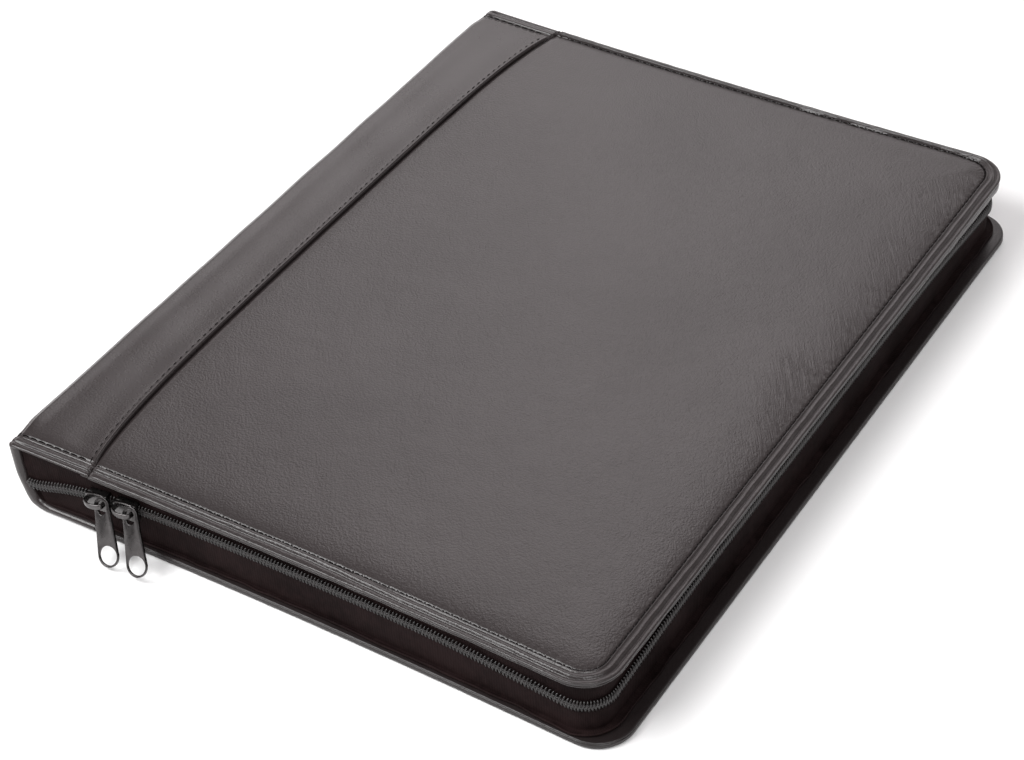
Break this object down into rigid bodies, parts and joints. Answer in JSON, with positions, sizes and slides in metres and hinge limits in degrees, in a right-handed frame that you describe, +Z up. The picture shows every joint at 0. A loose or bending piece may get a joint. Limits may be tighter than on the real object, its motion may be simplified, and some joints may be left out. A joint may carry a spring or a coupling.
{
  "type": "document case",
  "caption": "Zip-round case for documents in dark padded leather, with a wrapped spine, a ribbed zip gusset and hanging metal pulls.",
  "frame": {"origin": "middle of the footprint, on the surface that the case lies on", "axes": "+X from the spine to the open edge, +Y along the spine, from the short side with the zip pulls to the other short side, +Z up out of the front cover"},
  "size_m": [0.2694, 0.362, 0.0334],
  "materials": {
    "front_leather": "grained, semi-matte",
    "spine_leather": "smooth, semi-matte",
    "back_leather": "grained, semi-matte",
    "zip_tape": "ribbed weave",
    "zip_coil": "nylon",
    "gunmetal": "dark gunmetal"
  },
  "bodies": {
    "case": {"front_panel": "front_leather", "back_panel": "back_leather", "spine_wrap": "spine_leather", "front_welt": "spine_leather", "zip_tape_upper": "zip_tape", "zip_tape_lower": "zip_tape", "zip_coil": "zip_coil", "zip_slider_1": "gunmetal", "zip_slider_2": "gunmetal"},
    "pull_1": {"zip_pull_1": "gunmetal"},
    "pull_2": {"zip_pull_2": "gunmetal"}
  },
  "joints": [
    {"name": "pull_1_swing", "type": "hinge", "parent": "case", "child": "pull_1", "pos_m": [-0.08758, -0.16997, 0.02164], "axis": [0, -0.8829, 0.4695], "range_deg": [-48, 3]},
    {"name": "pull_2_swing", "type": "hinge", "parent": "case", "child": "pull_2", "pos_m": [-0.07408, -0.16954, 0.02249], "axis": [0, -0.8829, 0.4695], "range_deg": [-3, 50]}
  ]
}
